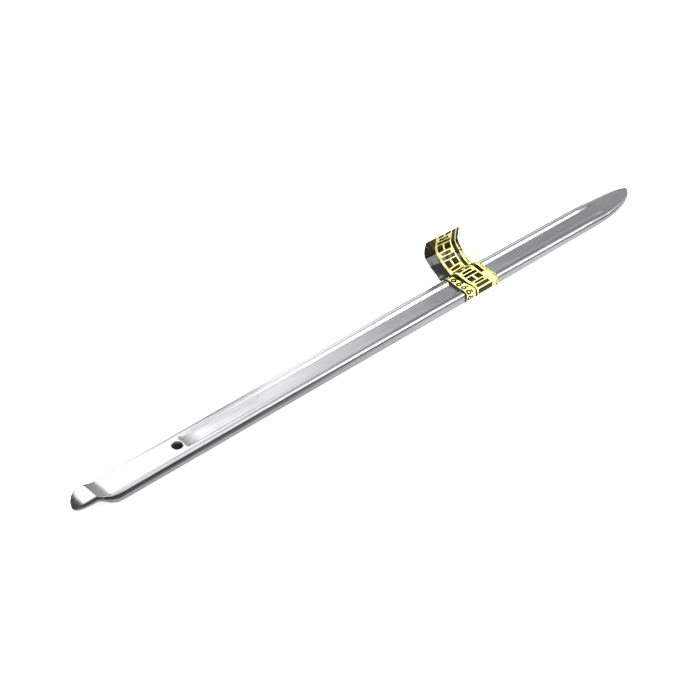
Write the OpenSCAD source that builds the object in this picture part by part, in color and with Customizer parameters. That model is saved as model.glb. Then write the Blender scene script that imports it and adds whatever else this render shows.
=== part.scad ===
// Double-ended tyre lever: one steel forging with a hooked end, a hanging hole, a fuller in
// each face and a flat pointed end, and the printed film label that is stuck round it.
// X runs along the bar from the hanging hole to the flat point, +Z is up, and the origin is
// on the hole's axis in the plane of the underside.

/* [Bar] */
// Overall length of the lever, from the hooked end to the flat point
lever_length = 500; // [450:5:600]
// Width across the bar
bar_width = 22.4; // [20:0.2:26]
// Thickness over the rails
bar_thickness = 9; // [8.4:0.1:11]
// Thickness over the rails where the flat point starts
thin_end_thickness = 6.8; // [6.6:0.1:8]
// Width of the bar where the flat point starts
thin_end_width = 21.8; // [19:0.2:22]
// Distance from the hooked end at which the bar starts to get thinner
taper_start = 300; // [280:5:315]

/* [Fuller] */
// Depth of the fuller below the rails
fuller_depth = 1.4; // [0.8:0.1:1.8]
// Distance from the hooked end at which the fuller starts
fuller_start = 88; // [88:1:110]
// Length of the ramp down into the fuller
fuller_ramp = 14; // [8:1:20]

/* [Hooked end] */
// Width of the spoon at the hooked end
spoon_width = 18; // [16:0.5:20]
// Length of the round part of the spoon
spoon_length = 13; // [11:0.5:14]
// Height of the crest above the bar's upper face
crest_lift = 5.2; // [4:0.1:6]
// Height of the underside below the crest
underside_lift = 8.6; // [7:0.1:9.4]
// How far the spoon's upper face turns down from the crest to the tip
spoon_drop = 7; // [6:0.1:8]

/* [Flat point] */
// Length of the flat point
point_length = 45; // [40:1:55]
// Height of the point's upper face at its tip
point_top = 5.3; // [5:0.1:5.6]
// Height to which the underside rises at the tip
point_underside = 3; // [2:0.1:3.2]
// How far the tip lies off the bar's centre line
point_skew = 2.5; // [0:0.1:3]

/* [Hanging hole] */
// Diameter of the hanging hole
hole_diameter = 7.2; // [6:0.2:8]
// Distance of the hole from the hooked end
hole_from_hook = 84; // [70:1:84]
// Width of the chamfer round the hole's upper rim
hole_chamfer = 0.4; // [0.2:0.1:0.6]

/* [Label] */
// Width of the film
label_width = 31.5; // [25:0.5:36]
// Distance of the label's edge from the hooked end
label_from_hook = 327.5; // [320:0.5:340]
// Thickness of the film
film = 0.18; // [0.15:0.01:0.25]
// Thickness of the adhesive under the film
adhesive = 0.1; // [0.08:0.01:0.15]
// Distance by which the second layer's edge is set back from the first layer's
overlap_setback = 6.5; // [4:0.5:8]
// Slant of the second layer's edge across the bar, in degrees
overlap_slant = 11; // [0:1:15]

/* [Hidden] */

steel = [0.78, 0.79, 0.81];
print_yellow = [0.95, 0.86, 0.25];
film_black = [0.08, 0.08, 0.09];
clear_glue = [0.85, 0.84, 0.78];

bar_half = bar_width / 2;
thin_half = thin_end_width / 2;
spoon_half = spoon_width / 2;
label_x = label_from_hook - hole_from_hook;
label_end = label_from_hook + label_width;

// Stretches of the lever, measured from the hooked end
crest_at = 13.5;
underside_crest = 13;
bend_end = 25;
lift_start = 30;
neck_end = 34;
point_start = lever_length - point_length;
rail_end = point_start + 13;
rail_fade = 15;

// Cross-section: the bevel as a share of the half width, and the rail's inner edge and the
// floor's edge as shares of what the bevel leaves
bevel_share = 0.305;
rail_share = 0.82;
floor_share = 0.6;
bevel_height = 0.85;
side_bulge = 0.25;
thin_floor_depth = 1.1;

// How far the tip of the spoon hangs below the underside's crest
tip_sag = 3;
tip_sag_length = 11;

// Stations of the loft
hook_steps = 26;
ramp_steps = 5;
point_steps = 22;
end_inset = 0.12;

function mix(a, b, k) = a + (b - a) * k;
function limit(k) = min(1, max(0, k));
function ease(k) = let(c = limit(k)) c * c * (3 - 2 * c);
function reversed(list) = [for (i = [len(list) - 1:-1:0]) list[i]];

// Share of the way along the thinning stretch, and along the flat point
function thinning(s) = limit((s - taper_start) / (point_start - taper_start));
function pointing(s) = limit((s - point_start) / point_length);

// Half width of the bar at distance s from the hooked end
function half_width(s) =
    s < spoon_length ? spoon_half * sqrt(1 - pow(1 - s / spoon_length, 2.6))
    : s < neck_end ? mix(spoon_half, bar_half, ease((s - spoon_length) / (neck_end - spoon_length)))
    : mix(bar_half, thin_half, thinning(s)) * sqrt(1 - pow(pointing(s), 2));

// Distance of the section's middle from the bar's centre line
function middle(s) = point_skew * pow(pointing(s), 4);

// Share of the fuller's depth on the ramp beside the hanging hole
function ramp(s) = 1 - pow(1 - limit((s - fuller_start) / fuller_ramp), 2);

// Depth of the upper fuller, which the rails leave where they run out on the flat point
function floor_depth(s) =
    mix(fuller_depth, thin_floor_depth, thinning(s)) * ramp(s) * limit((rail_end - s) / rail_fade);

// Height of the fuller's floor, which runs on as the flat point's upper face
function floor_height(s) =
    mix(mix(bar_thickness - fuller_depth, thin_end_thickness - thin_floor_depth, thinning(s)),
        point_top, pointing(s));

// Height of the rails, and of the upper face at the hooked end
function top_height(s) =
    s < crest_at ? bar_thickness + crest_lift - spoon_drop * pow(1 - s / crest_at, 3)
    : s < bend_end ? bar_thickness + crest_lift * pow((bend_end - s) / (bend_end - crest_at), 1.5)
    : s < fuller_start + fuller_ramp ? bar_thickness
    : floor_height(s) + floor_depth(s);

// Height of the underside: it rises under the hook and under the flat point
function bottom_height(s) =
    underside_lift * ease((lift_start - s) / (lift_start - underside_crest))
    - tip_sag * pow(limit(1 - s / tip_sag_length), 2)
    + point_underside * pow(pointing(s), 2.5);

// Depth of the lower fuller, which ends where the flat point starts
function lower_depth(s) = fuller_depth * ramp(s) * limit((point_start - s) / rail_fade);

// Share of the full bevel: it fades on the spoon and narrows on the flat point
function bevel(s) =
    s < point_start ? mix(0.1, 1, ease((s - 10) / 20)) : mix(1, 0.5, ease(pointing(s)));

// Half of a face from its outer corner to its floor, as [y, drop below the face]
function half_face(w, b, depth) =
    let(rim = w * (1 - bevel_share * b))
    [[w - side_bulge * b, bevel_height * b], [rim, 0], [rim * rail_share, 0],
     [rim * floor_share, depth]];

// Closed section at distance s, as points [x, y, z]
function section(s) =
    let(w = half_width(s), b = bevel(s), x = s - hole_from_hook, y = middle(s),
        top = top_height(s), low = bottom_height(s), mid = (top + low) / 2,
        upper = half_face(w, b, floor_depth(s)), lower = half_face(w, b, lower_depth(s)))
    concat(
        [[x, y - w, mid]],
        [for (p = upper) [x, y - p[0], top - p[1]]],
        [for (p = reversed(upper)) [x, y + p[0], top - p[1]]],
        [[x, y + w, mid]],
        [for (p = lower) [x, y + p[0], low + p[1]]],
        [for (p = reversed(lower)) [x, y - p[0], low + p[1]]]);

hook_stations = [for (k = [0:hook_steps]) mix(end_inset, neck_end, pow(k / hook_steps, 1.5))];
ramp_stations = [for (k = [0:ramp_steps]) fuller_start + fuller_ramp * pow(k / ramp_steps, 1.4)];
point_stations = [for (k = [0:point_steps])
    mix(lever_length - end_inset, point_start - rail_fade, pow(1 - k / point_steps, 1.5))];
stations = concat(hook_stations, ramp_stations, [taper_start, label_from_hook, label_end],
    point_stations);

// Skin of the lofted sections, closed at both ends
module loft(sections) {
    rings = len(sections);
    n = len(sections[0]);
    sides = [for (i = [0:rings - 2]) for (j = [0:n - 1])
        let(a = i * n + j, b = i * n + (j + 1) % n)
        each [[a, b, a + n], [b, b + n, a + n]]];
    first = [[for (j = [n - 1:-1:0]) j]];
    last = [[for (j = [0:n - 1]) (rings - 1) * n + j]];
    polyhedron([for (r = sections) each r], concat(first, sides, last), convexity = 6);
}

module hanging_bore() {
    r = hole_diameter / 2;
    cut = 1;
    translate([0, 0, -cut])
        cylinder(r = r, h = bar_thickness + 2 * cut, $fn = 64);
    translate([0, 0, bar_thickness - hole_chamfer])
        cylinder(r1 = r, r2 = r + hole_chamfer + cut, h = hole_chamfer + cut, $fn = 64);
}

module lever() {
    color(steel)
        difference() {
            loft([for (s = stations) section(s)]);
            hanging_bore();
        }
}

// Clearance that keeps the facets of bonded layers apart
bonding_gap = 0.02;

// Outward step at a corner between two segments that moves both of them by 1
function segment_normal(a, b) = let(d = b - a) [d[1], -d[0]] / norm(d);
function mitre(a, p, b) =
    let(before = segment_normal(a, p), after = segment_normal(p, b))
    (before + after) / (1 + before * after);

// Right half of the bar's outline at distance s, from the underside to the upper face
function half_outline(s) =
    let(w = half_width(s), rim = w * (1 - bevel_share), corner = w - side_bulge, t = top_height(s))
    [[rim, 0], [corner, bevel_height], [w, t / 2], [corner, t - bevel_height], [rim, t]];

// The bar's whole outline at distance s, moved outwards by g, as points [x, y, z]
function outset(s, g) =
    let(right = half_outline(s), path = concat(right, [for (p = reversed(right)) [-p[0], p[1]]]),
        n = len(path))
    [for (i = [n - 1:-1:0])
        let(p = path[i] + g * mitre(path[(i + n - 1) % n], path[i], path[(i + 1) % n]))
        [s - hole_from_hook, p[0], p[1]]];

// Outline of a film that follows an open path
function film_outline(path) =
    let(last = len(path) - 1,
        side = [for (i = [0:last])
            film / 2 * (i == 0 ? segment_normal(path[0], path[1])
                : i == last ? segment_normal(path[last - 1], path[last])
                : mitre(path[i - 1], path[i], path[i + 1]))])
    concat([for (i = [0:last]) path[i] + side[i]], [for (i = [last:-1:0]) path[i] - side[i]]);

// Stands a [y, z] outline up and runs it along X under the label's width
module along_label() {
    translate([label_x, 0, 0])
        rotate([90, 0, 90])
            linear_extrude(label_width)
                children();
}

// Closed layer round the bar, from inner to outer away from its surface
module layer(inner, outer) {
    overrun = 1;
    difference() {
        loft([outset(label_from_hook, outer), outset(label_end, outer)]);
        loft([outset(label_from_hook - overrun, inner), outset(label_end + overrun, inner)]);
    }
}

module label_adhesive() {
    color(clear_glue)
        layer(bonding_gap, adhesive - bonding_gap);
}

module label_first_turn() {
    color(film_black)
        layer(adhesive, adhesive + film);
}

// The second layer lies on the near side and the upper face, as far as the tail's fold
module label_second_layer() {
    block = 60;
    reach = half_outline(label_end)[3];
    second_inner = adhesive + film + bonding_gap;
    color(print_yellow)
        difference() {
            layer(second_inner, second_inner + film);
            translate([label_x - block / 2, -block / 2, bevel_height - block])
                cube(block);
            translate([label_x - block / 2, reach[0], -block / 2])
                cube(block);
            translate([label_x + overlap_setback, 0, 0])
                rotate([0, 0, overlap_slant])
                    translate([-block, -block / 2, -block / 2])
                        cube(block);
        }
}

// The label's free end stands off behind the bar. It folds where it leaves the bar's far
// edge and again along a crease, and each fold's axis lies in the gap between the panels.
fold_gap = 0.4;
root_fold = [bar_half + 0.5, top_height(label_from_hook + label_width / 2) - 0.6];
crease = root_fold + [18.5, 6.8];
valley = root_fold + [3.4, -4.1];
tail_path = [root_fold + [0.6, -0.8] * fold_gap, valley, valley + [4.8, 2.5], valley + [9.6, 5.4],
    crease - [0.7, 0.7] * fold_gap];
flap_path = [crease + [0.4, 0.9] * fold_gap, crease + [1.2, 2.6], crease + [1.1, 7],
    crease + [-0.2, 13.6]];

module label_tail() {
    color(print_yellow)
        along_label()
            polygon(film_outline(tail_path));
}

module label_flap() {
    color(print_yellow)
        along_label()
            polygon(film_outline(flap_path));
}

lever();
label_adhesive();
label_first_turn();
label_second_layer();
label_tail();
label_flap();
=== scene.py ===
"""Looks of the double-ended tyre lever: the satin steel forging and its printed film label.

Sizes are in millimetres in the functions that shape a piece, and in metres in the scene. s is the
distance from the hooked end, y runs across the bar and z is the height above its underside.
"""

import math

import bmesh
import bpy
import numpy as np
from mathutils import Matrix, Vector


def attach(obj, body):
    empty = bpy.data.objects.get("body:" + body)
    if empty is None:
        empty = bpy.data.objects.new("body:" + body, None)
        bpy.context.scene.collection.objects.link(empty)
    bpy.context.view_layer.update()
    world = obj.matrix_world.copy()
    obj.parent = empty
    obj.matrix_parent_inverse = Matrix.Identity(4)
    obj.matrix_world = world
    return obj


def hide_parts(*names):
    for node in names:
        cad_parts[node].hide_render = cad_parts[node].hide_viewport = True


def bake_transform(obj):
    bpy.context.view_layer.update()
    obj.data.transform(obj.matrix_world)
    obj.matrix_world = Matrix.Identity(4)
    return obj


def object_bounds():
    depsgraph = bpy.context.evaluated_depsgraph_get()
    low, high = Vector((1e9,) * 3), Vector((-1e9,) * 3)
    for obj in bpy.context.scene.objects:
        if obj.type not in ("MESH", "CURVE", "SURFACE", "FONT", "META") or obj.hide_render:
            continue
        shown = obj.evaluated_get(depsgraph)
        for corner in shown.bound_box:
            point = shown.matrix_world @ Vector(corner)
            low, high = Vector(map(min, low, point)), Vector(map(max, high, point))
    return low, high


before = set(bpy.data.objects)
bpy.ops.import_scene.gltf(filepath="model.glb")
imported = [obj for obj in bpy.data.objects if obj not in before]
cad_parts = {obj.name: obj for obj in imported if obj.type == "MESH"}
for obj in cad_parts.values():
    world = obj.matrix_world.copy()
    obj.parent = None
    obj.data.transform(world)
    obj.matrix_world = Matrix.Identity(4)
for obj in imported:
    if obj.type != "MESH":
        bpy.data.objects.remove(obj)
cad_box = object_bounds()

MM = 0.001
BAR_BODY, TAIL_BODY, FLAP_BODY = "bar", "tail", "flap"

# The bar, with the CAD part's sizes
LENGTH, HOLE_FROM_HOOK, HOLE_RADIUS = 500.0, 84.0, 3.6
BAR_HALF, THIN_HALF, SPOON_HALF = 11.2, 10.9, 9.0
THICKNESS, THIN_THICKNESS = 9.0, 6.8
FULLER_DEPTH, THIN_FULLER_DEPTH = 1.4, 1.1
FULLER_START, FULLER_RAMP = 88.0, 14.0
SPOON_LENGTH, CREST_LIFT, UNDERSIDE_LIFT, SPOON_DROP = 13.0, 5.2, 8.6, 7.0
CREST_AT, UNDERSIDE_CREST, BEND_END, LIFT_START, NECK_END = 13.5, 13.0, 25.0, 30.0, 34.0
TAPER_START, POINT_START, POINT_LENGTH = 300.0, 455.0, 45.0
POINT_TOP, POINT_UNDERSIDE, POINT_SKEW = 5.3, 3.0, 2.5
RAIL_END, RAIL_FADE = 468.0, 15.0
TIP_SAG, TIP_SAG_LENGTH = 3.0, 11.0
SPOON_ROUNDNESS = 2.6

# The bar's edges. Each bevel has two facets, given by shares of the half width and their drops
BEVEL_SHARE, OUTER_BEVEL_SHARE, RAIL_SHARE, FLOOR_SHARE = 0.32, 0.17, 0.82, 0.61
BEVEL_HEIGHT, INNER_BEVEL_DROP = 1.05, 0.24
SPOON_BEVEL, POINT_BEVEL = 0.1, 0.5
# How far the corners are set back from the sides' middle, and where that changes along the bar
SIDE_BULGE, HOOK_SIDE_BULGE, SPOON_LEAN = 0.25, 0.6, 2.2
LEAN_START, LEAN_FADE = 150.0, 200.0
# Limits that keep the section's corners in order where it is narrow, as shares of its half width
MOST_INSET, LEAST_OUTER_BEVEL, LEAST_BEVELS = 0.15, 0.03, 0.06
# How much lower the spoon's edges are than its middle, and where the spoon's shape fades out
NEAR_CROWN, FAR_CROWN = 0.3, 1.3
SPOON_FADE_START, SPOON_FADE = 10.0, 20.0

# The label
LABEL_START, LABEL_WIDTH = 327.5, 31.5
LABEL_END = LABEL_START + LABEL_WIDTH
FILM, ADHESIVE = 0.18, 0.1
FIRST_MIDDLE = ADHESIVE + FILM / 2
SECOND_MIDDLE = FIRST_MIDDLE + FILM + 0.02
GLUE_HEIGHTS, GLUE_INSET = (0.02, ADHESIVE - 0.01), 0.25


def mix(a, b, k):
    return a + (b - a) * k


def limit(k):
    return min(1.0, max(0.0, k))


def ease(k):
    c = limit(k)
    return c * c * (3 - 2 * c)


# ---------------------------------------------------------------- the bar's shape


def thinning(s):
    return limit((s - TAPER_START) / (POINT_START - TAPER_START))


def pointing(s):
    return limit((s - POINT_START) / POINT_LENGTH)


def half_width(s):
    if s < SPOON_LENGTH:
        return SPOON_HALF * math.sqrt(1 - (1 - s / SPOON_LENGTH) ** SPOON_ROUNDNESS)
    if s < NECK_END:
        return mix(SPOON_HALF, BAR_HALF, ease((s - SPOON_LENGTH) / (NECK_END - SPOON_LENGTH)))
    return mix(BAR_HALF, THIN_HALF, thinning(s)) * math.sqrt(1 - pointing(s) ** 2)


def ramp(s):
    return 1 - (1 - limit((s - FULLER_START) / FULLER_RAMP)) ** 2


def floor_depth(s):
    depth = mix(FULLER_DEPTH, THIN_FULLER_DEPTH, thinning(s))
    return depth * ramp(s) * limit((RAIL_END - s) / RAIL_FADE)


def lower_depth(s):
    return FULLER_DEPTH * ramp(s) * limit((POINT_START - s) / RAIL_FADE)


def floor_height(s):
    along = mix(THICKNESS - FULLER_DEPTH, THIN_THICKNESS - THIN_FULLER_DEPTH, thinning(s))
    return mix(along, POINT_TOP, pointing(s))


def top_height(s):
    if s < CREST_AT:
        return THICKNESS + CREST_LIFT - SPOON_DROP * (1 - s / CREST_AT) ** 3
    if s < BEND_END:
        return THICKNESS + CREST_LIFT * ((BEND_END - s) / (BEND_END - CREST_AT)) ** 1.5
    if s < FULLER_START + FULLER_RAMP:
        return THICKNESS
    return floor_height(s) + floor_depth(s)


def bottom_height(s):
    lift = UNDERSIDE_LIFT * ease((LIFT_START - s) / (LIFT_START - UNDERSIDE_CREST))
    sag = TIP_SAG * limit(1 - s / TIP_SAG_LENGTH) ** 2
    return lift - sag + POINT_UNDERSIDE * pointing(s) ** 2.5


def past_spoon(s):
    return ease((s - SPOON_FADE_START) / SPOON_FADE)


def bevel(s):
    """How large the bevels are at s, as a share of their full size."""
    if s < POINT_START:
        return mix(SPOON_BEVEL, 1, past_spoon(s))
    return mix(1, POINT_BEVEL, ease(pointing(s)))


def side_lean(s):
    """How far the side's rounding sets the corner back, more on the hooked half."""
    return mix(HOOK_SIDE_BULGE, SIDE_BULGE, ease((s - LEAN_START) / LEAN_FADE))


def half_face(w, b, depth, lean):
    """Half of a face from its outer corner to its floor, as (y, drop below the face)."""
    inset = min(lean * mix(SPOON_LEAN, 1, b), MOST_INSET * w)
    shoulder = w - max(w * OUTER_BEVEL_SHARE * b, inset + LEAST_OUTER_BEVEL * w)
    rim = w - max(w * BEVEL_SHARE * b, inset + LEAST_BEVELS * w)
    return [
        (w - inset, BEVEL_HEIGHT * b),
        (shoulder, INNER_BEVEL_DROP * b),
        (rim, 0.0),
        (rim * RAIL_SHARE, 0.0),
        (rim * FLOOR_SHARE, depth),
    ]


# How far the rounding of each corner reaches along its edges, in the order of half_face
CORNER_REACH = (0.9, 0.3, 0.2, 0.15, 0.5)
SIDE_REACH = 4.0
# The most of an edge that one corner's rounding takes
MOST_OF_EDGE = 0.47
ARC_STEPS = 6
FLOOR_STEPS = 8
NO_LENGTH = 1e-9


def arc(before, corner, after, reach, steps=ARC_STEPS):
    """Rounds a corner with a curve that leaves each edge at most reach from the corner."""
    a, p, b = (np.array(q, float) for q in (before, corner, after))
    length_a, length_b = np.linalg.norm(a - p), np.linalg.norm(b - p)
    start = p + (a - p) / max(length_a, NO_LENGTH) * min(reach, MOST_OF_EDGE * length_a)
    end = p + (b - p) / max(length_b, NO_LENGTH) * min(reach, MOST_OF_EDGE * length_b)
    ts = [k / steps for k in range(steps + 1)]
    return [(1 - t) ** 2 * start + 2 * t * (1 - t) * p + t * t * end for t in ts]


def crown(s, y):
    """How much lower the spoon's edges are than its middle, more on the far side."""
    edge = NEAR_CROWN if y < 0 else FAR_CROWN
    return edge * (1 - past_spoon(s)) * (y / half_width(s)) ** 2


def across(start, end):
    """Points that divide the stretch between two points, without its ends."""
    return [mix(start, end, k / FLOOR_STEPS) for k in range(1, FLOOR_STEPS)]


def bar_section(s):
    """Closed rounded section of the bar at s, as (y, z) points."""
    w, b = half_width(s), bevel(s)
    top, low = top_height(s), bottom_height(s)
    mid = (top + low) / 2
    skew = POINT_SKEW * pointing(s) ** 4
    upper = half_face(w, b, floor_depth(s), side_lean(s))
    lower = half_face(w, b, lower_depth(s), side_lean(s))
    corners = [((-w, mid), SIDE_REACH)]
    corners += [((-y, top - q), r) for (y, q), r in zip(upper, CORNER_REACH)]
    corners += [((y, top - q), r) for (y, q), r in reversed(list(zip(upper, CORNER_REACH)))]
    corners += [((w, mid), SIDE_REACH)]
    corners += [((y, low + q), r) for (y, q), r in zip(lower, CORNER_REACH)]
    corners += [((-y, low + q), r) for (y, q), r in reversed(list(zip(lower, CORNER_REACH)))]
    n = len(corners)
    far_floor_corner = len(upper) + 1
    points = []
    for i in range(n):
        before, after = corners[i - 1][0], corners[(i + 1) % n][0]
        bend = arc(before, corners[i][0], after, corners[i][1])
        if i == far_floor_corner:
            points += across(points[-1], bend[0])
        points += bend
    return [(y + skew, z - crown(s, y) * limit((z - mid) / (top - mid))) for y, z in points]


# ---------------------------------------------------------------- mesh helpers


def place(s, y, z):
    """A point of the scene, in metres, from a place on the lever in millimetres."""
    return ((s - HOLE_FROM_HOOK) * MM, y * MM, z * MM)


def object_from(name, verts, faces, materials=()):
    mesh = bpy.data.meshes.new(name)
    mesh.from_pydata([tuple(v) for v in verts], [], faces)
    for material in materials:
        mesh.materials.append(material)
    mesh.update()
    piece = bpy.data.objects.new(name, mesh)
    bpy.context.scene.collection.objects.link(piece)
    return piece


def shade_smooth(piece, angle=40):
    """Smooth shading with face-weighted normals, and sharp edges past an angle in degrees."""
    mesh = piece.data
    mesh.polygons.foreach_set("use_smooth", [True] * len(mesh.polygons))
    mesh.set_sharp_from_angle(angle=math.radians(angle))
    weighted = piece.modifiers.new("weighted", "WEIGHTED_NORMAL")
    weighted.keep_sharp = True
    weighted.weight = 80


def apply_modifiers(piece):
    depsgraph = bpy.context.evaluated_depsgraph_get()
    mesh = bpy.data.meshes.new_from_object(piece.evaluated_get(depsgraph))
    old = piece.data
    piece.modifiers.clear()
    piece.data = mesh
    bpy.data.meshes.remove(old)


def turn_outwards(mesh):
    bmesh.ops.recalc_face_normals(mesh, faces=mesh.faces)


def edit_mesh(piece, *edits):
    """Runs edits of the piece's mesh, each a function of a bmesh."""
    mesh = bmesh.new()
    mesh.from_mesh(piece.data)
    for edit in edits:
        edit(mesh)
    mesh.to_mesh(piece.data)
    mesh.free()


def merge_points(distance):
    """An edit that merges points closer than distance and drops what collapses."""
    def edit(mesh):
        bmesh.ops.remove_doubles(mesh, verts=mesh.verts, dist=distance)
        bmesh.ops.dissolve_degenerate(mesh, edges=mesh.edges, dist=distance / 2)
    return edit


def revolve(name, profile, steps):
    """Closed solid turned round Z from (radius, z) points in millimetres, capped at both ends."""
    rings = []
    for r, z in profile:
        for k in range(steps):
            a = 2 * math.pi * k / steps
            rings.append((r * math.cos(a) * MM, r * math.sin(a) * MM, z * MM))
    faces = [tuple(reversed(range(steps)))]
    last = (len(profile) - 1) * steps
    for i in range(len(profile) - 1):
        for k in range(steps):
            a, b = i * steps + k, i * steps + (k + 1) % steps
            faces.append((a, b, b + steps, a + steps))
    faces.append(tuple(last + k for k in range(steps)))
    return object_from(name, rings, faces)


# ---------------------------------------------------------------- materials


class Nodes:
    """A material's node tree with short calls for the nodes used here."""

    def __init__(self, name):
        self.material = bpy.data.materials.new(name)
        self.material.use_nodes = True
        self.tree = self.material.node_tree
        self.shader = self.tree.nodes["Principled BSDF"]

    def put(self, socket, value):
        if isinstance(value, bpy.types.NodeSocket):
            self.tree.links.new(value, socket)
        else:
            socket.default_value = value

    def node(self, kind, inputs=None, **settings):
        node = self.tree.nodes.new(kind)
        for key, value in settings.items():
            setattr(node, key, value)
        for key, value in (inputs or {}).items():
            self.put(node.inputs[key], value)
        return node

    def math(self, operation, a, b=0.0):
        node = self.node("ShaderNodeMath", operation=operation)
        for socket, value in zip(node.inputs, (a, b)):
            self.put(socket, value)
        return node.outputs[0]

    def colour(self, factor, a, b):
        node = self.node("ShaderNodeMix", data_type="RGBA")
        self.put(node.inputs["Factor"], factor)
        self.put(node.inputs["A"], a)
        self.put(node.inputs["B"], b)
        return node.outputs["Result"]

    def noise(self, vector, scale, detail, stretch=(1, 1, 1)):
        mapping = self.node("ShaderNodeMapping", {"Vector": vector, "Scale": stretch})
        inputs = {"Vector": mapping.outputs[0], "Scale": scale, "Detail": detail}
        return self.node("ShaderNodeTexNoise", inputs).outputs["Fac"]

    def span(self, value, low, high, to_low=0.0, to_high=1.0):
        """Maps value from low..high to to_low..to_high, clamped."""
        inputs = {"Value": value, "From Min": low, "From Max": high}
        inputs.update({"To Min": to_low, "To Max": to_high})
        return self.node("ShaderNodeMapRange", inputs).outputs[0]

    def within(self, value, low, high, soft=0.05):
        """1 between low and high and 0 outside, changing over soft either side of each edge."""
        rising = self.span(value, low - soft, low + soft)
        falling = self.span(value, high - soft, high + soft)
        return self.math("SUBTRACT", rising, falling)

    def block(self, across, across_span, along, along_span):
        """1 inside a rectangle of the film, 0 outside."""
        columns, rows = self.within(across, *across_span), self.within(along, *along_span)
        return self.math("MULTIPLY", columns, rows)

    def distance(self, a, b):
        """How far the point (a, b) is from (0, 0)."""
        squares = self.math("ADD", self.math("MULTIPLY", a, a), self.math("MULTIPLY", b, b))
        return self.math("SQRT", squares)

    def most(self, values):
        """The largest of the values."""
        largest = values[0]
        for value in values[1:]:
            largest = self.math("MAXIMUM", largest, value)
        return largest

    def set(self, **values):
        """Sets or links the shader's inputs by name, with _ for each space."""
        for key, value in values.items():
            self.put(self.shader.inputs[key.replace("_", " ")], value)


def rgb(r, g, b):
    return (r, g, b, 1.0)


STEEL_BRIGHT, STEEL_DULL = rgb(0.66, 0.67, 0.69), rgb(0.57, 0.585, 0.615)
# Near-black brown inside the hanging hole: rust, darkened further as painted shade inside the hole
HOLE_RUST_AND_SHADE = rgb(0.030, 0.017, 0.008)
# Radii and heights over which the bore's near-black brown, rust darkened with painted shade, fades
# out, in millimetres
RUST_AND_SHADE_RADII, RUST_AND_SHADE_HEIGHTS = (3.63, 3.72), (6.9, 7.9)


def steel_material():
    """Satin steel: belt grain along the bar, a fine blasted grain, and a near-black brown bore, rust
    with painted shade of the hole.
    """
    n = Nodes("satin_steel")
    coordinates = n.node("ShaderNodeTexCoord").outputs["Object"]
    belt = n.noise(coordinates, 900, 4, (0.03, 1, 1))
    grain = n.noise(coordinates, 1600, 2)
    cloud = n.noise(coordinates, 60, 3, (0.35, 1, 1))
    x, y, z = n.node("ShaderNodeSeparateXYZ", {"Vector": coordinates}).outputs
    in_bore = n.span(n.distance(x, y), RUST_AND_SHADE_RADII[0] * MM, RUST_AND_SHADE_RADII[1] * MM, 1.0, 0.0)
    below_rim = n.span(z, RUST_AND_SHADE_HEIGHTS[0] * MM, RUST_AND_SHADE_HEIGHTS[1] * MM, 1.0, 0.0)
    # The bore's inside below the rim gets the rust colour darkened to painted shade of the hole
    rust_and_shade = n.math("MULTIPLY", in_bore, below_rim)
    tone = n.colour(n.span(cloud, 0.35, 0.65), STEEL_DULL, STEEL_BRIGHT)
    n.set(Base_Color=n.colour(rust_and_shade, tone, HOLE_RUST_AND_SHADE))
    n.set(Metallic=n.span(rust_and_shade, 0, 1, 1.0, 0.25))
    ground = n.span(belt, 0.3, 0.7, 0.22, 0.32)
    n.set(Roughness=n.math("ADD", ground, n.math("MULTIPLY", rust_and_shade, 0.3)))
    height = n.math("ADD", n.math("MULTIPLY", belt, 0.6), n.math("MULTIPLY", grain, 0.5))
    bump = n.node("ShaderNodeBump", {"Height": height, "Strength": 0.06, "Distance": 0.0001})
    n.set(Normal=bump.outputs[0])
    return n.material


PRINT_YELLOW, PALE_YELLOW = rgb(0.91, 0.81, 0.13), rgb(0.95, 0.90, 0.42)
# Colours of the dark print, which also colour the painted shade at the crease and the painted shadow
# by the second layer's edge
INK_AND_SHADE_BLACK, WORN_INK_AND_SHADE_BROWN = rgb(0.004, 0.004, 0.004), rgb(0.035, 0.016, 0.008)

# The print map's unit, in millimetres
PRINT_UNIT = 100
# Places across the film, in millimetres from its left edge
DOTS_AT, EDGE_PATTERN = 10.2, 29.0
PANEL, PANEL_GAP, SHORT_BAR = (12.0, 23.8), (17.2, 18.6), (13.2, 22.0)
NEAR_BLOCK, FRAGMENT, RIGHT_STRIP = (12.4, 25.7), (9.0, 11.6), (25.0, 28.3)
DASHES, FIRST_EDGE_LINE = (6.2, 7.6), 1.5
# Places along the film, in millimetres from its end on the bar's near side. The crease line is a thin
# painted shade across the film at the fold.
NEAR_SIDE_END, STRIP_STARTS, CREASE_SHADE_LINE, CREASE_SHADE_HALF = 6.6, 17.0, 47.6, 0.22
NEAR_BLOCK_ALONG, FRAGMENT_ALONG = (0.9, 5.6), (1.4, 3.4)
# The blocks' rows, and the places of the blocks in a row
BLOCK_PERIOD, PAIR_ALONG, WIDE_BAR_ALONG, SHORT_BAR_ALONG = 6.4, (0.4, 5.9), (0.3, 3.0), (3.7, 6.0)
# The rings' place, spacing and radii, and the dashes beside them as shares of the spacing
RING_AT, RING_PERIOD, RING_RADII, DASH_SHARE = 4.0, 5.2, (0.6, 2.1), (-0.3, 0.2)
# The row of dots: its width, its spacing, and the share of the spacing that a dot takes
DOTS_ACROSS, DOT_PERIOD, DOT_SHARE = (0.3, 1.0), 1.5, (0.1, 0.5)
# The second layer's slanted left edge: its slant, its place on the near side, and its dark line, dark
# ink with painted shadow of the layer's edge
CUT_SLANT = 0.198
CUT_NEAR = 9.7 + 7.5 * CUT_SLANT
CUT_INK_AND_SHADOW_WIDTH, CUT_INK_AND_SHADOW_END = 0.7, 29.9
# Width over which the print's edges change
PRINT_EDGE = 0.1


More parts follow.
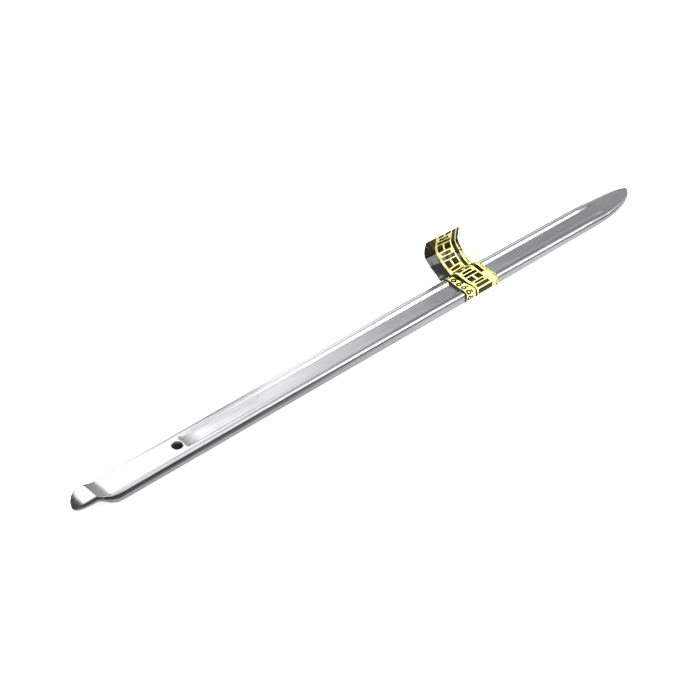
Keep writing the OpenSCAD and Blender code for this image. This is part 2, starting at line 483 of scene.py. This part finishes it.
def printed_blocks(n, u, v):
    """Abstract blocks: pairs side by side, in turn with a wide and a short bar."""
    row = n.math("DIVIDE", v, BLOCK_PERIOD)
    count = n.math("FLOOR", row)
    inside = n.math("MULTIPLY", n.math("SUBTRACT", row, count), BLOCK_PERIOD)
    odd = n.math("MODULO", count, 2)
    even = n.math("SUBTRACT", 1.0, odd)
    panel = n.within(u, *PANEL)
    halves = n.math("SUBTRACT", panel, n.within(u, *PANEL_GAP))
    paired = n.math("MULTIPLY", halves, n.within(inside, *PAIR_ALONG))
    wide_bar = n.math("MULTIPLY", panel, n.within(inside, *WIDE_BAR_ALONG))
    short_bar = n.block(u, SHORT_BAR, inside, SHORT_BAR_ALONG)
    bars = n.math("MAXIMUM", wide_bar, short_bar)
    rows = n.math("ADD", n.math("MULTIPLY", paired, even), n.math("MULTIPLY", bars, odd))
    on_top = n.math("MULTIPLY", rows, n.span(v, NEAR_SIDE_END, NEAR_SIDE_END + PRINT_EDGE))
    near_block = n.block(u, NEAR_BLOCK, v, NEAR_BLOCK_ALONG)
    fragment = n.block(u, FRAGMENT, v, FRAGMENT_ALONG)
    return n.most([on_top, near_block, fragment])


def print_rings(n, u, v):
    """A row of bold rings and a row of dashes beside the first turn's dark edge line."""
    ring_u = n.math("SUBTRACT", u, RING_AT)
    turn = n.math("SUBTRACT", n.math("FRACT", n.math("DIVIDE", v, RING_PERIOD)), 0.5)
    rings = n.within(n.distance(ring_u, n.math("MULTIPLY", turn, RING_PERIOD)), *RING_RADII, 0.1)
    dashes = n.block(u, DASHES, turn, DASH_SHARE)
    edge_line = n.span(u, FIRST_EDGE_LINE, FIRST_EDGE_LINE + 2 * PRINT_EDGE, 1.0, 0.0)
    return n.most([edge_line, rings, dashes])


def cut_edge_ink_and_shadow(n, u, v):
    """A dark line along the slanted edge of the second layer: dark ink with painted shadow of the
    layer's edge.
    """
    from_edge = n.math("ADD", n.math("SUBTRACT", u, CUT_NEAR), n.math("MULTIPLY", v, CUT_SLANT))
    # A thin band beside the edge, dark ink with painted shadow of the layer's edge
    by_edge = n.span(from_edge, CUT_INK_AND_SHADOW_WIDTH, CUT_INK_AND_SHADOW_WIDTH + 2 * PRINT_EDGE, 1.0, 0.0)
    before_end = n.span(v, CUT_INK_AND_SHADOW_END, CUT_INK_AND_SHADOW_END + 2 * PRINT_EDGE, 1.0, 0.0)
    return n.math("MULTIPLY", by_edge, before_end)


def right_of_pattern_edge(n, u):
    return n.span(u, EDGE_PATTERN, EDGE_PATTERN + 2 * PRINT_EDGE)


def second_layer_print(n, u, v):
    """The dark parts of the second layer and the free end: print, a thin painted shade across the
    crease, and the slanted edge's line of dark ink with painted shadow.
    """
    left_of_dots = n.span(u, DOTS_AT - PRINT_EDGE, DOTS_AT + PRINT_EDGE, 1.0, 0.0)
    striped = n.span(v, STRIP_STARTS, STRIP_STARTS + PRINT_EDGE)
    right_strip = n.math("MULTIPLY", n.within(u, *RIGHT_STRIP), striped)
    # Painted shade: a thin dark line across the film where it folds at the crease
    crease = n.within(v, CREASE_SHADE_LINE - CREASE_SHADE_HALF, CREASE_SHADE_LINE + CREASE_SHADE_HALF)
    past_crease = n.span(v, CREASE_SHADE_LINE, CREASE_SHADE_LINE + 2)
    right_edge = n.math("MULTIPLY", right_of_pattern_edge(n, u), past_crease)
    blocks = printed_blocks(n, u, v)
    return [left_of_dots, blocks, right_strip, cut_edge_ink_and_shadow(n, u, v), crease, right_edge]


def dots_and_flecks(n, u, v, on_film):
    """A row of dots near the left, and worn flecks along the right edge."""
    dots = n.within(n.math("FRACT", n.math("DIVIDE", v, DOT_PERIOD)), *DOT_SHARE)
    in_row = n.within(u, DOTS_AT + DOTS_ACROSS[0], DOTS_AT + DOTS_ACROSS[1])
    broken = n.node("ShaderNodeTexNoise", {"Vector": on_film, "Scale": 120.0, "Detail": 1.0})
    flecks = n.span(broken.outputs["Fac"], 0.46, 0.52)
    row = n.math("MULTIPLY", in_row, dots)
    return [row, n.math("MULTIPLY", right_of_pattern_edge(n, u), flecks)]


def film_material(first_turn=False):
    """Glossy printed film. The print map holds places on the film, in print units."""
    n = Nodes("film_first_turn" if first_turn else "film_print")
    on_film = n.node("ShaderNodeUVMap", uv_map="print").outputs[0]
    u_raw, v_raw, _ = n.node("ShaderNodeSeparateXYZ", {"Vector": on_film}).outputs
    u, v = n.math("MULTIPLY", u_raw, PRINT_UNIT), n.math("MULTIPLY", v_raw, PRINT_UNIT)
    parts = [print_rings(n, u, v)] if first_turn else second_layer_print(n, u, v)
    # The dark mask holds the print together with the painted shade at the crease and the painted
    # shadow by the layer's edge
    dark = n.most(parts + dots_and_flecks(n, u, v, on_film))
    worn = n.noise(on_film, 30, 3)
    yellow = n.colour(n.span(worn, 0.4, 0.62), PRINT_YELLOW, PALE_YELLOW)
    ink_and_shade = n.colour(n.span(worn, 0.58, 0.75), INK_AND_SHADE_BLACK, WORN_INK_AND_SHADE_BROWN)
    n.set(Base_Color=n.colour(dark, yellow, ink_and_shade))
    n.set(Roughness=n.span(worn, 0.3, 0.7, 0.12, 0.20), Specular_IOR_Level=0.5)
    ripple = n.noise(on_film, 9, 2)
    bump = n.node("ShaderNodeBump", {"Height": ripple, "Strength": 0.25, "Distance": 0.0006})
    n.set(Normal=bump.outputs[0])
    return n.material


BACK_DULL, BACK_PALE = rgb(0.36, 0.355, 0.33), rgb(0.46, 0.455, 0.43)
GLUE_THIN, GLUE_THICK = rgb(0.80, 0.76, 0.55), rgb(0.70, 0.67, 0.52)


def backing_material():
    """The film's unprinted back: pale, with the last of its adhesive in fine blisters."""
    n = Nodes("film_backing")
    coordinates = n.node("ShaderNodeTexCoord").outputs["Object"]
    blisters = n.noise(coordinates, 700, 3)
    n.set(Base_Color=n.colour(n.span(blisters, 0.4, 0.6), BACK_DULL, BACK_PALE))
    n.set(Roughness=n.span(blisters, 0.35, 0.65, 0.32, 0.5))
    bump = n.node("ShaderNodeBump", {"Height": blisters, "Strength": 0.2, "Distance": 0.0002})
    n.set(Normal=bump.outputs[0])
    return n.material


def glue_material():
    """Clear pressure-sensitive adhesive, slightly yellow and uneven where it is squeezed out."""
    n = Nodes("label_adhesive_clear")
    coordinates = n.node("ShaderNodeTexCoord").outputs["Object"]
    uneven = n.noise(coordinates, 500, 3)
    n.set(Base_Color=n.colour(n.span(uneven, 0.4, 0.6), GLUE_THIN, GLUE_THICK))
    n.set(Roughness=n.span(uneven, 0.35, 0.65, 0.25, 0.45))
    return n.material


# ---------------------------------------------------------------- the forging

# Rings of the skin: how far they stay from both tips, how they crowd there, how many there are at
# each end, and their spacings between
TIP_INSET, CROWDING = 0.015, 1.7
HOOK_RINGS, POINT_RINGS, POINT_RINGS_FROM = 90, 100, 439
PLAIN_STEP, RAMP_STEP, SHANK_STEP, SHANK_END = 2.0, 0.7, 4.0, 436
# Distances within which points are merged
SKIN_MERGE, CUTTER_MERGE = 0.002, 0.0001


def stations():
    """Distances from the hooked end at which the bar's skin has a ring, closer where it bends."""
    last = LENGTH - TIP_INSET
    hook_shares = [(k / HOOK_RINGS) ** CROWDING for k in range(HOOK_RINGS + 1)]
    point_shares = [(k / POINT_RINGS) ** CROWDING for k in range(POINT_RINGS, -1, -1)]
    ramp_end = FULLER_START + FULLER_RAMP
    hook = [TIP_INSET + (NECK_END - TIP_INSET) * share for share in hook_shares]
    plain = list(np.arange(NECK_END + PLAIN_STEP, FULLER_START - 1, PLAIN_STEP))
    into_fuller = list(np.arange(FULLER_START, ramp_end + 1, RAMP_STEP))
    shank = list(np.arange(ramp_end + SHANK_STEP, SHANK_END, SHANK_STEP))
    point = [last - (last - POINT_RINGS_FROM) * share for share in point_shares]
    return hook + plain + into_fuller + shank + point


BORE_RIM, BORE_STEPS, BORE_SIDES = 0.7, 5, 96
CUTTER_BEYOND = 2.0


def bore_cutter():
    """The hanging hole with a small rounded rim on each face."""
    wide = HOLE_RADIUS + BORE_RIM
    turns = [math.pi / 2 * k / BORE_STEPS for k in range(BORE_STEPS + 1)]
    lower = [(wide - BORE_RIM * math.sin(a), BORE_RIM * (1 - math.cos(a))) for a in turns]
    upper = [(r, THICKNESS - z) for r, z in reversed(lower)]
    profile = [(wide, -CUTTER_BEYOND)] + lower + upper + [(wide, THICKNESS + CUTTER_BEYOND)]
    return revolve("bore_cutter", profile, BORE_SIDES)


def lever_forging():
    rings = [(s, bar_section(s)) for s in stations()]
    n = len(rings[0][1])
    verts = [place(s, y, z) for s, ring in rings for y, z in ring]
    faces = []
    for i in range(len(rings) - 1):
        for j in range(n):
            a, b = i * n + j, i * n + (j + 1) % n
            faces.append((a, b, b + n, a + n))
    faces.append(tuple(range(n)))
    faces.append(tuple(reversed(range((len(rings) - 1) * n, len(rings) * n))))
    piece = object_from("lever_forging", verts, faces, [steel_material()])
    edit_mesh(piece, merge_points(SKIN_MERGE * MM), turn_outwards)
    cutter = bore_cutter()
    edit_mesh(cutter, merge_points(CUTTER_MERGE * MM), turn_outwards)
    cut = piece.modifiers.new("bore", "BOOLEAN")
    cut.operation, cut.solver, cut.object = "DIFFERENCE", "EXACT", cutter
    apply_modifiers(piece)
    bpy.data.objects.remove(cutter)
    shade_smooth(piece, 50)
    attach(piece, BAR_BODY)
    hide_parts("lever")
    return piece


# ---------------------------------------------------------------- the label's shape

# How far the film sags between the fuller's rails, and the share of that under the bar
SAG, UNDER_SAG_SHARE, SAG_STEPS = 0.45, 0.7, 10
# Columns of points across the film
COLUMNS = 28


def bar_corners(s):
    """Half width, rim, shoulder, corner and height of the bar's outline where the label is."""
    w = half_width(s)
    return w, w * (1 - BEVEL_SHARE), w * (1 - OUTER_BEVEL_SHARE), w - SIDE_BULGE, top_height(s)


def bridge(rim, shoulder, height, sag, g):
    """Film over a face from shoulder to shoulder, which sags between the fuller's rails."""
    rail = rim * RAIL_SHARE
    points = [(-shoulder, height + g - INNER_BEVEL_DROP), (-rim, height + g)]
    for k in range(SAG_STEPS + 1):
        y = mix(-rail, rail, k / SAG_STEPS)
        points.append((y, height + g - sag * (1 - (y / rail) ** 2)))
    points += [(rim, height + g), (shoulder, height + g - INNER_BEVEL_DROP)]
    return points


WRAP_REACH, WRAP_STEPS = 0.5, 3


def wrap_ring(s, g):
    """Closed path of a film at height g over the bar's surface, as (y, z) points."""
    w, rim, shoulder, corner, t = bar_corners(s)
    top = bridge(rim, shoulder, t, SAG, g)
    under = [(y, t - z) for y, z in bridge(rim, shoulder, t, SAG * UNDER_SAG_SHARE, g)]
    near = [(-corner - g, BEVEL_HEIGHT), (-w - g, t / 2), (-corner - g, t - BEVEL_HEIGHT)]
    far = [(-y, z) for y, z in reversed(near)]
    loop = near + top + far + list(reversed(under))
    n = len(loop)
    points = []
    for i in range(n):
        points += arc(loop[i - 1], loop[i], loop[(i + 1) % n], WRAP_REACH, WRAP_STEPS)
    return points


def slab(name, outer, inner, closed, materials):
    """Sheet between two grids of places, each a list of rows, one row for each step along the film.

    The rows close into a ring if closed. The outer side gets the first material and the inner side
    the second.
    """
    rows, columns = len(outer), len(outer[0])
    verts = [p for row in outer for p in row] + [p for row in inner for p in row]
    half = rows * columns
    faces, kinds = [], []
    for i in range(rows if closed else rows - 1):
        up = (i + 1) % rows
        for j in range(columns - 1):
            a, b, c, d = i * columns + j, i * columns + j + 1, up * columns + j + 1, up * columns + j
            faces.append((a, b, c, d))
            kinds.append(0)
            faces.append((d + half, c + half, b + half, a + half))
            kinds.append(1)
        for j in (0, columns - 1):
            a, b = i * columns + j, up * columns + j
            faces.append((a, b, b + half, a + half))
            kinds.append(0)
    if not closed:
        for i in (0, rows - 1):
            for j in range(columns - 1):
                a, b = i * columns + j, i * columns + j + 1
                faces.append((a, b, b + half, a + half))
                kinds.append(0)
    piece = object_from(name, verts, faces, materials)
    piece.data.polygons.foreach_set("material_index", kinds)
    edit_mesh(piece, turn_outwards)
    return piece


def add_print_map(piece, places):
    """Stores each point's place on the film, (u, v) in millimetres, as the print map."""
    layer = piece.data.uv_layers.new(name="print")
    for loop in piece.data.loops:
        u, v = places[loop.vertex_index]
        layer.data[loop.index].uv = (u / PRINT_UNIT, v / PRINT_UNIT)


def lengths_along(path):
    """Distance of each point of a path from its first."""
    steps = [0.0] + [float(np.linalg.norm(np.subtract(b, a))) for a, b in zip(path, path[1:])]
    return list(np.cumsum(steps))


def ring_piece(name, heights, ends, materials):
    """A closed layer round the bar between two heights over its surface, and its length round."""
    low, high = heights
    start, end = ends
    columns = [mix(start, end, j / COLUMNS) for j in range(COLUMNS + 1)]
    outers = [wrap_ring(s, high) for s in columns]
    inners = [wrap_ring(s, low) for s in columns]
    rows = len(outers[0])
    outer = [[place(s, *outers[j][i]) for j, s in enumerate(columns)] for i in range(rows)]
    inner = [[place(s, *inners[j][i]) for j, s in enumerate(columns)] for i in range(rows)]
    piece = slab(name, outer, inner, True, materials)
    along = lengths_along(outers[0])
    places = [(s - LABEL_START, along[i]) for i in range(rows) for s in columns]
    add_print_map(piece, places + places)
    return piece, along[-1]


def label_wrap():
    materials = [film_material(first_turn=True), backing_material()]
    heights = (ADHESIVE, ADHESIVE + FILM)
    piece, around = ring_piece("label_wrap", heights, (LABEL_START, LABEL_END), materials)
    shade_smooth(piece)
    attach(piece, BAR_BODY)
    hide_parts("label_first_turn")
    return piece


def label_glue():
    ends = (LABEL_START + GLUE_INSET, LABEL_END - GLUE_INSET)
    piece, _ = ring_piece("label_glue", GLUE_HEIGHTS, ends, [glue_material()] * 2)
    shade_smooth(piece)
    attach(piece, BAR_BODY)
    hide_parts("label_adhesive")
    return piece


# The free end's folds at the film's left and right edge, as (y, z) from the root to the tip
TAIL_LEFT = [(13.9, 4.4), (17.7, 7.2), (24.9, 10.3), (30.5, 15.0), (31.6, 19.0), (30.1, 28.9)]
TAIL_RIGHT = [(16.2, 3.3), (21.6, 5.4), (24.6, 8.1), (29.9, 14.1), (31.0, 16.4), (29.9, 27.6)]
TAIL_REACH = (1.6, 1.2, 0.6, 0.9, 2.0, 0.0)
# The corner of those lists at which the crease lies, and the height of the film's near end
CREASE_INDEX, NEAR_END_HEIGHT = 2, 1.0
# Roundings of the second layer's corners on the bar, and the points between two corners
NEAR_REACHES, TOP_ENDS_REACH, TOP_REACH, FAR_REACH = [0.0, 1.5, 0.7], 0.6, 0.3, 0.5
FILL_STEPS = 6


def strip_corners(s):
    """Corners and roundings of the second layer and free end's path at s."""
    w, rim, shoulder, corner, t = bar_corners(s)
    g = SECOND_MIDDLE
    share = limit((s - LABEL_START) / LABEL_WIDTH)
    path = [(-corner - g, NEAR_END_HEIGHT), (-w - g, t / 2), (-corner - g, t - BEVEL_HEIGHT)]
    reach = list(NEAR_REACHES)
    top = bridge(rim, shoulder, t, SAG, g)
    path += top
    reach += [TOP_ENDS_REACH] + [TOP_REACH] * (len(top) - 2) + [TOP_ENDS_REACH]
    path.append((corner + g, t - BEVEL_HEIGHT + 0.1))
    reach.append(FAR_REACH)
    for left, right, r in zip(TAIL_LEFT, TAIL_RIGHT, TAIL_REACH):
        path.append((mix(left[0], right[0], share), mix(left[1], right[1], share)))
        reach.append(r)
    return path, reach


def strip_path(s):
    """Evenly filled path at s, and the index of its crease."""
    corners, reaches = strip_corners(s)
    points, marks = [np.array(corners[0], float)], [0]
    for i in range(1, len(corners)):
        if i < len(corners) - 1:
            bend = arc(corners[i - 1], corners[i], corners[i + 1], reaches[i])
        else:
            bend = [np.array(corners[-1], float)]
        start = points[-1]
        points += [mix(start, bend[0], k / FILL_STEPS) for k in range(1, FILL_STEPS)]
        marks.append(len(points) + len(bend) // 2)
        points += bend
    return points, marks[len(corners) - len(TAIL_LEFT) + CREASE_INDEX]


# The second layer's left edge: how far it is set back at the bar's far side, and where along y it
# meets the film's own edge
CUT_FAR, CUT_MEETS, CUT_MEETS_OVER = 5.3, 10.6, 3.0
# Where along y the film starts to stand free, and over how much of y its waves grow
FREE_FROM, FREE_OVER = 12.0, 4.0
# The strip's path is worked out at this many places across the film, and eased between them
PATHS = 16


def left_edge(y):
    """Left edge of the strip at y: set back on the bar, and the film's own edge on the tail."""
    on_bar = LABEL_START + CUT_FAR + CUT_SLANT * (BAR_HALF - max(y, -BAR_HALF))
    return mix(on_bar, LABEL_START, ease((y - CUT_MEETS) / CUT_MEETS_OVER))


def wrinkle(u, v):
    """Small unevenness of the film where it stands free, in millimetres."""
    return 0.10 * math.sin(0.42 * u + 0.31 * v) + 0.06 * math.sin(0.9 * u - 0.55 * v + 1.3)


def strip_grid():
    """Places of the strip's outer and inner side, and its print places, row by row."""
    built = [strip_path(mix(LABEL_START, LABEL_END, k / PATHS)) for k in range(PATHS + 1)]
    crease = built[0][1]
    paths = np.array([path for path, _ in built])
    tangent = np.gradient(paths, axis=1)
    tangent /= np.linalg.norm(tangent, axis=2, keepdims=True)
    normal = np.stack([-tangent[..., 1], tangent[..., 0]], axis=2)
    middle = paths[PATHS // 2]
    along = lengths_along(list(middle))
    outer, inner, places = [], [], []
    for i in range(len(middle)):
        y = middle[i, 0]
        left, free = left_edge(y), ease((y - FREE_FROM) / FREE_OVER)
        row_out, row_in = [], []
        for j in range(COLUMNS + 1):
            s = mix(left, LABEL_END, j / COLUMNS)
            k = (s - LABEL_START) / LABEL_WIDTH * PATHS
            k0 = min(PATHS - 1, int(k))
            point = mix(paths[k0, i], paths[k0 + 1, i], k - k0)
            side = mix(normal[k0, i], normal[k0 + 1, i], k - k0)
            lift = free * wrinkle(s - LABEL_START, along[i])
            row_out.append(place(s, *(point + side * (FILM / 2 + lift))))
            row_in.append(place(s, *(point + side * (lift - FILM / 2))))
            places.append((s - LABEL_START, along[i]))
        outer.append(row_out)
        inner.append(row_in)
    return outer, inner, places, along, crease


def strip_piece(name, grid, first, last, materials):
    outer, inner, places, along, _ = grid
    piece = slab(name, outer[first:last + 1], inner[first:last + 1], False, materials)
    width = COLUMNS + 1
    chosen = places[first * width:(last + 1) * width]
    add_print_map(piece, chosen + chosen)
    shade_smooth(piece, 60)
    return piece, along[last] - along[first]


def label_strip():
    """The second layer with the free end as far as the crease, and the flap past it."""
    grid = strip_grid()
    materials = [film_material(), backing_material()]
    crease, last = grid[4], len(grid[0]) - 1
    tail, length = strip_piece("label_tail_film", grid, 0, crease, materials)
    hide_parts("label_second_layer", "label_tail")
    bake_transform(tail)
    flap, length = strip_piece("label_flap_film", grid, crease, last, materials)
    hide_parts("label_flap")
    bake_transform(flap)
    return tail, flap


# ---------------------------------------------------------------- studio

# Brightness of the sky by the height of the direction, from -1 below to 1 overhead
SKY_STOPS = [(-1.0, 0.03), (0.12, 0.03), (0.27, 0.45), (1.0, 0.80)]
WHITE = 1.9
CEILING_WATTS, CEILING_SIZE, CEILING_AT = 100, 3.0, (0.17, -0.3, 2.0)
CARD_HEIGHT, HIGH_CARD_HEIGHT = 0.45, 2.0
FLOOR_REACH, FLOOR_DROP = 6.0, 0.0002


def emitter(name, colour, strength):
    """A plain glowing material for the reflector cards."""
    material = bpy.data.materials.new(name)
    material.use_nodes = True
    tree = material.node_tree
    tree.nodes.clear()
    out = tree.nodes.new("ShaderNodeOutputMaterial")
    glow = tree.nodes.new("ShaderNodeEmission")
    glow.inputs["Color"].default_value = colour
    glow.inputs["Strength"].default_value = strength
    tree.links.new(glow.outputs[0], out.inputs[0])
    return material


def brightness_curve(tree, value, stops):
    """Brightness at value, eased between stops of (place, brightness)."""
    low, high = stops[0][0], stops[-1][0]
    top = max(brightness for _, brightness in stops)
    reach = tree.nodes.new("ShaderNodeMapRange")
    reach.inputs["From Min"].default_value = low
    reach.inputs["From Max"].default_value = high
    tree.links.new(value, reach.inputs["Value"])
    curve = tree.nodes.new("ShaderNodeFloatCurve")
    points = curve.mapping.curves[0].points
    points[0].location = (0.0, stops[0][1] / top)
    points[1].location = (1.0, stops[-1][1] / top)
    for at, brightness in stops[1:-1]:
        points.new((at - low) / (high - low), brightness / top)
    for point in points:
        point.handle_type = "AUTO_CLAMPED"
    curve.mapping.update()
    tree.links.new(reach.outputs[0], curve.inputs["Value"])
    scale = tree.nodes.new("ShaderNodeMath")
    scale.operation = "MULTIPLY"
    scale.inputs[1].default_value = top
    tree.links.new(curve.outputs[0], scale.inputs[0])
    return scale.outputs[0]


def place_split(tree, output):
    """Three separate coordinates from the named texture coordinate."""
    coordinates = tree.nodes.new("ShaderNodeTexCoord")
    split = tree.nodes.new("ShaderNodeSeparateXYZ")
    tree.links.new(coordinates.outputs[output], split.inputs[0])
    return split.outputs


def gradient_emitter(name, axis, stops):
    """A glowing material whose brightness changes along one axis, in metres."""
    material = emitter(name, rgb(1, 1, 1), 1.0)
    tree = material.node_tree
    strength = brightness_curve(tree, place_split(tree, "Object")[axis], stops)
    tree.links.new(strength, tree.nodes["Emission"].inputs["Strength"])
    return material


def two_sided_emitter(name, left_stops, right_stops, change):
    """Brightness along Y by one curve on the left and another on the right, eased along X."""
    material = emitter(name, rgb(1, 1, 1), 1.0)
    tree = material.node_tree
    x, y, _ = place_split(tree, "Object")
    share = tree.nodes.new("ShaderNodeMapRange")
    share.interpolation_type = "SMOOTHSTEP"
    share.inputs["From Min"].default_value, share.inputs["From Max"].default_value = change
    tree.links.new(x, share.inputs["Value"])
    blend = tree.nodes.new("ShaderNodeMix")
    tree.links.new(share.outputs[0], blend.inputs["Factor"])
    tree.links.new(brightness_curve(tree, y, left_stops), blend.inputs["A"])
    tree.links.new(brightness_curve(tree, y, right_stops), blend.inputs["B"])
    tree.links.new(blend.outputs["Result"], tree.nodes["Emission"].inputs["Strength"])
    return material


def card(name, corners, material):
    """A flat reflector that only shows in reflections."""
    piece = object_from(name, corners, [(0, 1, 2, 3)], [material])
    piece.visible_camera = False
    piece.visible_diffuse = False
    piece.visible_shadow = False
    piece.visible_transmission = False
    return piece


def level_card(name, x, y, z, material):
    """A card at height z over the ranges x and y."""
    (x0, x1), (y0, y1) = x, y
    corners = [(x0, y0, z), (x1, y0, z), (x1, y1, z), (x0, y1, z)]
    return card(name, corners, material)


def gradient_card(name, x, y, z, stops):
    """A level card whose brightness changes along X, by stops of (place, brightness)."""
    level_card(name + "_card", x, y, z, gradient_emitter(name + "_gradient", 0, stops))


def upright_card(name, corners, heights, material):
    """A card that stands on the line between two corners, over a range of heights."""
    (x0, y0), (x1, y1) = corners
    low, high = heights
    return card(name, [(x0, y0, low), (x1, y1, low), (x1, y1, high), (x0, y0, high)], material)


def floor():
    r, low = FLOOR_REACH, cad_box[0][2] - FLOOR_DROP
    corners = [(-r, -r, low), (r, -r, low), (r, r, low), (-r, r, low)]
    n = Nodes("pale_floor")
    coordinates = n.node("ShaderNodeTexCoord").outputs["Object"]
    cloud = n.noise(coordinates, 3, 2)
    n.set(Base_Color=n.colour(cloud, rgb(0.90, 0.90, 0.90), rgb(0.93, 0.93, 0.93)))
    n.set(Roughness=0.9, Emission_Color=rgb(1, 1, 1), Emission_Strength=0.7)
    piece = object_from("floor", corners, [(0, 1, 2, 3)], [n.material])
    piece.visible_glossy = False


def sky():
    """Soft grey light from above, with a dark band round the horizon that edges reflect."""
    world = bpy.data.worlds.new("studio")
    bpy.context.scene.world = world
    world.use_nodes = True
    tree = world.node_tree
    height = place_split(tree, "Generated")[2]
    strength = brightness_curve(tree, height, SKY_STOPS)
    background = tree.nodes["Background"]
    background.inputs["Color"].default_value = rgb(1, 1, 1)
    tree.links.new(strength, background.inputs["Strength"])


def ceiling_light():
    """A wide soft light that lights the film and the floor and shows in no reflection."""
    data = bpy.data.lights.new("ceiling_light", "AREA")
    data.shape, data.size = "SQUARE", CEILING_SIZE
    data.energy = CEILING_WATTS
    light = bpy.data.objects.new("ceiling_light", data)
    light.location = CEILING_AT
    light.visible_glossy = False
    bpy.context.scene.collection.objects.link(light)


def face_cards():
    """What the upper faces and the bevels beside them look up at."""
    # For the faces: dark beyond the spoon's tip, white over the hooked half, grey over the point
    gradient_card("overhead", (-0.75, 2.2), (0.30, 0.54), CARD_HEIGHT, [
        (-0.75, 0.05), (-0.60, 0.15), (-0.48, 0.9), (-0.38, 1.7), (-0.25, WHITE), (0.20, 2.4),
        (0.30, 2.3), (0.345, 1.7), (0.375, 1.35), (0.417, 1.15), (0.472, 0.78), (0.527, 0.56),
        (0.573, 0.45), (0.666, 0.39), (0.75, 0.34), (2.2, 0.30),
    ])
    # For the curve behind the crest and the far inner bevel
    gradient_card("beyond", (-0.75, 1.6), (0.54, 0.95), CARD_HEIGHT, [
        (-0.75, 0.05), (-0.60, 0.15), (-0.48, 0.9), (-0.25, WHITE), (0.42, WHITE), (0.65, 1.7),
        (0.88, 1.6), (1.0, 1.0), (1.3, 0.5), (1.6, 0.4),
    ])
    # A dark stripe that the near inner bevel picks up as a thin line
    gradient_card("stripe", (-0.5, 0.9), (0.11, 0.30), CARD_HEIGHT, [
        (-0.5, WHITE), (0.10, 1.4), (0.241, 0.8), (0.305, 0.6), (0.361, 0.34), (0.416, 0.28),
        (0.471, 0.12), (0.9, 0.12),
    ])


def edge_cards():
    """What the outer bevels, the fuller's far slope and the small curves look at."""
    # White for the near outer bevel, and a softer white for the fuller's far slope
    white = emitter("soft_white", rgb(1, 1, 1), 1.7)
    slope_white = emitter("slope_white", rgb(1, 1, 1), 1.2)
    level_card("near_bevel_card", (0.9, 1.75), (-0.85, 0.30), HIGH_CARD_HEIGHT, white)
    fading = gradient_emitter("fading_white", 0, [(0.9, 1.8), (1.25, 1.7), (1.5, 0.3)])
    level_card("hook_bevel_card", (0.9, 1.5), (-1.5, -0.85), HIGH_CARD_HEIGHT, fading)
    level_card("far_slope_card", (0.2, 1.0), (-0.44, -0.27), CARD_HEIGHT, slope_white)
    # What the far outer bevel looks at: white from the hooked half, and dark from the pointed half
    far_edge = gradient_emitter("far_edge_gradient", 0, [
        (0.60, 1.6), (0.95, 1.5), (1.05, 0.5), (1.13, 0.05), (2.4, 0.05),
    ])
    upright_card("far_edge_card", [(0.6, 1.7), (2.4, 1.7)], (-0.2, 0.60), far_edge)
    # Small cards close by, which darken the curve behind the crest and the slope into the fuller
    gradient_card("crest", (0.012, 0.10), (0.060, 0.12), 0.061, [
        (0.012, 1.5), (0.02, 1.2), (0.04, 0.8), (0.06, 0.6), (0.10, 0.5),
    ])
    ramp_shade = emitter("ramp_shade", rgb(1, 1, 1), 0.1)
    level_card("ramp_card", (0.068, 0.118), (0.054, 0.088), 0.06, ramp_shade)


def low_cards():
    """What the bar's near side and the hook's curves look at."""
    # What the near side looks down at: light close by, dark further out, lighter on the right
    far_side = [(0.15, 0.10), (0.80, 0.06), (0.95, 0.4), (1.6, 0.5)]
    left = [(-0.60, 0.05), (-0.38, 0.10), (-0.30, 0.20), (-0.24, 0.42), (-0.18, 0.70), (-0.13, 0.75)]
    left += [(-0.09, 0.35), (0.0, 0.25)] + far_side
    right = [(-0.60, 0.06), (-0.46, 0.25), (-0.37, 0.70), (-0.30, 0.95), (-0.16, 0.90), (-0.11, 0.70)]
    right += [(0.0, 0.3)] + far_side
    table = two_sided_emitter("table_gradient", left, right, (0.26, 0.40))
    level_card("table_card", (-1.5, 2.5), (-0.60, 1.6), -0.25, table)
    # Panels beyond both ends, which the hook's curves pick up
    dark = emitter("dark_panel", rgb(1, 1, 1), 0.06)
    upright_card("panel_beyond_hook", [(-0.76, -0.3), (-0.76, 1.2)], (-0.2, 0.45), dark)
    rising = gradient_emitter("rising_panel", 2, [(-0.5, 0.38), (0.3, 0.48), (0.45, 0.6)])
    upright_card("panel_beyond_point", [(1.6, -0.6), (1.6, 1.7)], (-0.5, 0.44), rising)


def softbox():
    """A bright card in front, for the gloss of the film's folds."""
    box = emitter("front_softbox", rgb(1, 1, 1), 6.0)
    level_card("softbox", (0.46, 0.76), (-0.48, -0.22), CARD_HEIGHT - 0.01, box)


# ---------------------------------------------------------------- camera

VIEW_AZIMUTH, VIEW_ELEVATION, VIEW_DISTANCE = -41.26, 41.09, 1.782
VIEW_LENS, VIEW_SHIFT = 134.7, (-0.0289, -0.008)


def camera():
    middle = Vector(((cad_box[0][0] + cad_box[1][0]) / 2, 0, 0))
    azimuth, elevation = math.radians(VIEW_AZIMUTH), math.radians(VIEW_ELEVATION)
    back = Vector((
        math.sin(azimuth) * math.cos(elevation),
        -math.cos(azimuth) * math.cos(elevation),
        math.sin(elevation),
    ))
    data = bpy.data.cameras.new("camera")
    data.lens = VIEW_LENS
    data.sensor_width = 36
    data.shift_x, data.shift_y = VIEW_SHIFT
    data.clip_end = 50
    eye = bpy.data.objects.new("camera", data)
    eye.location = middle + back * VIEW_DISTANCE
    eye.rotation_euler = (-back).to_track_quat("-Z", "Y").to_euler()
    bpy.context.scene.collection.objects.link(eye)
    bpy.context.scene.camera = eye
    bpy.context.scene.view_settings.view_transform = "Standard"


camera()
sky()
ceiling_light()
floor()
face_cards()
edge_cards()
low_cards()
softbox()
lever_forging()
label_glue()
label_wrap()
label_strip()
